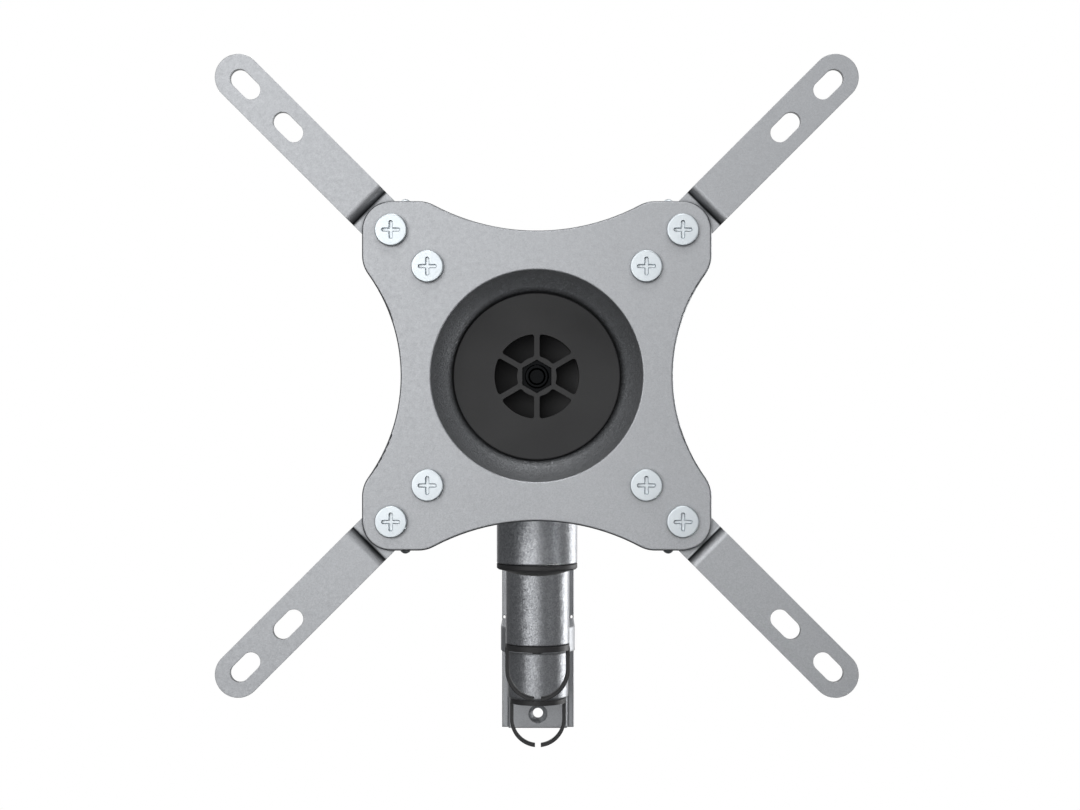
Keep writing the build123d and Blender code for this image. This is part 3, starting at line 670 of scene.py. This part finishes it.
def cross_screw(columns):
    """Grid of one pan head screw along +Y, its head's seat at y = 0, as (rows, columns, 3).

    The recess goes down from the cross outline to a flat floor. The head's top at radius r is at
    y = crown * (r / head_r)^2 - head height, and its lip is a quarter circle. At angle a and depth y the
    thread's radius is shank_r - thread_depth * |2 frac(y / pitch - a / 2 pi) - 1|.
    """
    head_r, lip_r, shank_r, root_r = 0.00550, 0.00035, 0.00250, 0.00190
    pitch, thread_depth, thread_start, thread_end = 0.0008, 0.00036, 0.0098, 0.0164
    half_bar, reach, inset, crown, chamfer = 0.00071, 0.00322, 0.00022, 0.00004, 0.00006
    fine = np.linspace(0.0, 2.0 * np.pi, 4001)
    outline = cross_outline(fine, half_bar, reach)
    step = np.hypot(np.diff(outline * np.cos(fine)), np.diff(outline * np.sin(fine)))
    run = np.concatenate([[0.0], np.cumsum(step)])
    share = np.arange(columns) / columns
    crowded = np.interp(share * run[-1], run, fine)
    even = 2.0 * np.pi * share
    outer = cross_outline(crowded, half_bar, reach)
    inner = cross_outline(crowded, half_bar - inset, reach - inset)
    floor_y, lip_y = recess_deep - screw_head_h, crown - screw_head_h
    top = -screw_head_h + crown * (outer / head_r) ** 2
    level = np.ones(columns)
    rows = [(crowded, part * inner, floor_y * level) for part in (0.3, 0.6, 0.9)]
    rows += [
        (crowded, inner, (floor_y - 0.00003) * level),
        (crowded, 0.8 * inner + 0.2 * outer, (0.85 * recess_deep - screw_head_h) * level),
        (crowded, 0.2 * inner + 0.8 * outer, (0.18 * recess_deep - screw_head_h) * level),
        (crowded, outer, top + 0.00005),
        (crowded, outer + chamfer, top),
    ]
    for part in (0.2, 0.45, 0.7, 0.9, 1.0):
        turn = (1.0 - part) * crowded + part * even
        r = (1.0 - part) * (outer + chamfer) + part * (head_r - lip_r)
        rows.append((turn, r, -screw_head_h + crown * (r / head_r) ** 2))
    for angle in np.radians((15.0, 32.0, 50.0, 68.0, 86.0)):
        r = head_r - lip_r + lip_r * np.sin(angle)
        rows.append((even, r * level, (lip_y + lip_r * (1.0 - np.cos(angle))) * level))
    rows += [
        (even, head_r * level, -0.00018 * level),
        (even, (head_r - 0.0001) * level, -0.00001 * level),
        (even, shank_r * level, -0.00001 * level),
    ]
    for y in np.linspace(thread_start, thread_end, 62):
        saw = np.abs(2.0 * ((y / pitch - even / (2.0 * np.pi)) % 1.0) - 1.0)
        rows.append((even, shank_r - thread_depth * saw, y * level))
    rows.append((even, root_r * level, screw_end * level))
    turn, r, y = (np.array([row[i] for row in rows]) for i in range(3))
    return np.stack([r * np.cos(turn), y, r * np.sin(turn)], axis=-1)


white_zinc = turned_zinc_steel("white_zinc_plating", "#d6dcdf", "#ced5da", 0.42, 0.25)
screw_shape = cross_screw(80)
hole_signs = [(sx, sz) for sx in (-1.0, 1.0) for sz in (-1.0, 1.0)]
hole_halves = (0.0500, 0.0375)
screw_places = np.array(
    [(sx * half, plate_front, plate_mid_z + sz * half) for half in hole_halves for sx, sz in hole_signs]
)
recess_floor, shank_end = np.array([[0.0, recess_deep - screw_head_h, 0.0], [0.0, screw_end, 0.0]])
screw_caps = [(place + recess_floor, place + shank_end) for place in screw_places]
screws = closed_grid(
    "pan_head_screws",
    [screw_shape + place for place in screw_places],
    screw_caps,
    white_zinc,
    "screen",
)
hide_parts("plate_screws")


# Wing nuts: pressed and plated steel, one on each plate screw. The hub is a
# short cone with a rounded foot, and the two ears are rounded on every side.
def cut_corners(points, rounds):
    """Rounds a closed polygon: each round puts points at 1/4 and 3/4 of every side (Chaikin's rule)."""
    for _ in range(rounds):
        after = np.roll(points, -1, axis=0)
        points = np.stack([0.75 * points + 0.25 * after, 0.25 * points + 0.75 * after], axis=1).reshape(-1, 2)
    return points


def ear_grid(outline, middle, thick):
    """A pillow between two faces, as (rows, columns, 3) of along, away and across the ear.

    Ring q of 0..1..0 lies at middle + q * (outline - middle), and its half thickness is
    thick / 2 * (1 - q^5)^0.5, positive going out and negative coming back.
    """
    out = np.array([0.15, 0.35, 0.55, 0.72, 0.84, 0.92, 0.97, 0.993, 1.0])
    share = np.concatenate([out, out[-2::-1]])
    side = np.concatenate([np.ones(out.size - 1), [0.0], -np.ones(out.size - 1)])
    flat = middle + share[:, None, None] * (outline - middle)[None]
    half = 0.5 * thick * np.sqrt(np.clip(1.0 - share**5, 0.0, 1.0)) * side
    return np.concatenate([flat, np.broadcast_to(half[:, None, None], flat.shape[:2] + (1,))], axis=-1)


wing_zinc = turned_zinc_steel("wing_zinc_plating", "#e6ecf0", "#d2d8dd", 0.42, 0.35)
ear_corners = np.array(
    [(2.2, 1.0), (8.8, 2.3), (12.2, 5.4), (12.95, 8.2), (12.0, 10.8), (7.8, 10.6), (5.6, 7.2), (2.4, 5.2)]
)
ear_outline = cut_corners(ear_corners / 1000.0, 3)
ear_out, ear_up, ear_thick, lean_deg = 0.0082, 0.0060, 0.0040, 22.7
ear_shape = ear_grid(ear_outline, np.array([ear_out, ear_up]), ear_thick)
hub_turn = np.linspace(0.0, 2.0 * np.pi, 48, endpoint=False)
hub_r = np.array([2.6, 4.4, 4.8, 4.95, 4.8, 4.6, 4.45, 4.2, 3.7, 2.9, 2.6]) / 1000.0
hub_y = np.array([0.0, 0.0, 0.15, 0.6, 2.2, 3.9, 4.8, 5.25, 5.48, 5.5, 5.3]) / 1000.0
back = np.array([0.0, 1.0, 0.0])
hub_top = 0.0053 * back
plate_sheet, arm_sheet = 0.0025, 0.0025
nut_seat = plate_front + plate_sheet + arm_sheet
nut_grids, nut_caps = [], []
for place in screw_places:
    falls = place[0] * (place[2] - plate_mid_z) < 0.0
    lean = math.radians(90.0 - lean_deg if falls else 90.0 + lean_deg)
    along = np.array([math.cos(lean), 0.0, math.sin(lean)])
    across = np.array([-math.sin(lean), 0.0, math.cos(lean)])
    foot = np.array([place[0], nut_seat, place[2]])
    spin = np.cos(hub_turn)[None, :, None] * along + np.sin(hub_turn)[None, :, None] * across
    nut_grids.append(foot + hub_r[:, None, None] * spin + hub_y[:, None, None] * back)
    nut_caps.append((foot, foot + hub_top))
    for way in (-1.0, 1.0):
        ear = foot + way * ear_shape[..., 0:1] * along + ear_shape[..., 1:2] * back
        nut_grids.append(ear + ear_shape[..., 2:3] * across)
        ear_mid = foot + way * ear_out * along + ear_up * back
        half_ear = 0.5 * ear_thick * across
        nut_caps.append((ear_mid + half_ear, ear_mid - half_ear))
nuts = closed_grid("pressed_wing_nuts", nut_grids, nut_caps, wing_zinc, "screen")
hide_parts("wing_nuts")


# The studio: a pale floor well under the mount, and broad soft lights in front
# on the left, behind on the right and overhead. Two narrow lights from low on
# the right reach the lower barrels and the bowl.
floor_mesh = bpy.data.meshes.new("pale_floor")
floor_sides, floor_r, floor_mid_y = 96, 1.1, -0.2
floor_turn = np.linspace(0.0, 2.0 * np.pi, floor_sides, endpoint=False)
floor_z = float(cad_box[0][2]) - 0.42
floor_points = np.stack(
    [
        floor_r * np.cos(floor_turn),
        floor_mid_y + floor_r * np.sin(floor_turn),
        np.full(floor_sides, floor_z),
    ],
    axis=1,
)
floor_mesh.from_pydata(floor_points.tolist(), [], [tuple(range(floor_sides))])
floor_paint, floor_tree = empty_material("matt_white_paint")
floor_look = add_node(
    floor_tree, "ShaderNodeBsdfPrincipled", {"Base Color": linear("#f4f4f4"), "Roughness": 0.8}
)
add_node(floor_tree, "ShaderNodeOutputMaterial", {}, {"Surface": (floor_look, "BSDF")})
floor_mesh.materials.append(floor_paint)
pale_floor = bpy.data.objects.new("pale_floor", floor_mesh)
bpy.context.collection.objects.link(pale_floor)
pale_floor.visible_glossy = False


def hang_lamp(name, kind, place, aim, watts, settings):
    """Hangs a lamp at place and turns it to shine at aim; settings are the lamp's own values by name."""
    lamp = bpy.data.lights.new(name, kind)
    lamp.energy = watts
    for key, value in settings.items():
        setattr(lamp, key, value)
    holder = bpy.data.objects.new(name, lamp)
    holder.location = place
    eye = np.array(place, float) - np.array(aim, float)
    turn = math.atan2(eye[0], -eye[1])
    rise = math.atan2(eye[2], math.hypot(eye[0], eye[1]))
    holder.rotation_euler = (math.radians(90.0) - rise, 0.0, turn)
    bpy.context.collection.objects.link(holder)


middle = (0.0, -0.30, 0.08)
soft_lights = (
    ("front_softbox", (-1.32, -3.70, 0.51), 3.4, 2.15, 58.5),
    ("front_softbox_edge", (1.00, -3.63, 0.51), 1.1, 2.15, 3.0),
    ("right_side_softbox", (1.21, 0.54, 0.16), 0.8, 1.2, 11.8),
    ("right_front_fill", (1.35, -1.35, 0.15), 0.9, 1.2, 1.0),
    ("high_left_rear", (-1.0, 1.1, 1.5), 0.9, 0.9, 4.5),
    ("high_right_rear", (1.2, 0.9, 1.7), 0.8, 0.8, 3.0),
    ("overhead_front", (0.0, -1.3, 1.7), 1.0, 0.8, 13.5),
    ("overhead", (0.0, 0.1, 1.9), 1.0, 1.2, 7.5),
)
for name, place, wide, high, watts in soft_lights:
    hang_lamp(name, "AREA", place, middle, watts, {"shape": "RECTANGLE", "size": wide, "size_y": high})

low_barrel, bowl = (0.0, -0.3375, 0.064), (-0.012, -0.385, plate_mid_z)
narrow_lights = (
    ("low_right_spot", (0.674, -0.810, -0.411), low_barrel, 3.3, 0.06, 40.0),
    ("bowl_spot", (1.15, -0.75, -0.40), bowl, 4.6, 0.08, 16.0),
)
for name, place, aim, cone_deg, source_r, watts in narrow_lights:
    cone = {"spot_size": math.radians(cone_deg), "spot_blend": 0.6, "shadow_soft_size": source_r}
    hang_lamp(name, "SPOT", place, aim, watts, cone)

# The camera sees a white backdrop, and gloss and glass see it behind the mount.
# The rest of the room is dim, and a little darker below.
studio = bpy.data.worlds.new("pale_studio")
studio.use_nodes = True
bpy.context.scene.world = studio
air = studio.node_tree
air.nodes.clear()
ray = add_node(air, "ShaderNodeLightPath")
way = add_node(air, "ShaderNodeTexCoord")
way_split = add_node(air, "ShaderNodeSeparateXYZ", {}, {"Vector": (way, "Generated")})
backdrop = add_node(
    air,
    "ShaderNodeMapRange",
    {"From Min": 0.88, "From Max": 0.95, "To Min": 0.0, "To Max": 1.0},
    {"Value": (way_split, "Y")},
)
mirror_or_glass = add_node(
    air,
    "ShaderNodeMath",
    {"operation": "MAXIMUM"},
    {0: (ray, "Is Glossy Ray"), 1: (ray, "Is Transmission Ray")},
)
seen_in_gloss = add_node(
    air,
    "ShaderNodeMath",
    {"operation": "MULTIPLY"},
    {0: (mirror_or_glass, "Value"), 1: (backdrop, "Result")},
)
white_part = add_node(
    air,
    "ShaderNodeMath",
    {"operation": "MAXIMUM"},
    {0: (ray, "Is Camera Ray"), 1: (seen_in_gloss, "Value")},
)
height_share = add_node(
    air,
    "ShaderNodeMapRange",
    {"From Min": -0.45, "From Max": 0.10, "To Min": 0.05, "To Max": 0.185},
    {"Value": (way_split, "Z")},
)
cool_white = (0.975, 0.99, 1.02, 1.0)
room = add_node(air, "ShaderNodeBackground", {"Color": cool_white}, {"Strength": (height_share, "Result")})
white = add_node(air, "ShaderNodeBackground", {"Color": (1.0, 1.0, 1.0, 1.0), "Strength": 1.0})
either = add_node(
    air,
    "ShaderNodeMixShader",
    {},
    {0: (white_part, "Value"), 1: (room, "Background"), 2: (white, "Background")},
)
add_node(air, "ShaderNodeOutputWorld", {}, {"Surface": (either, "Shader")})

bpy.context.scene.view_settings.view_transform = "Standard"
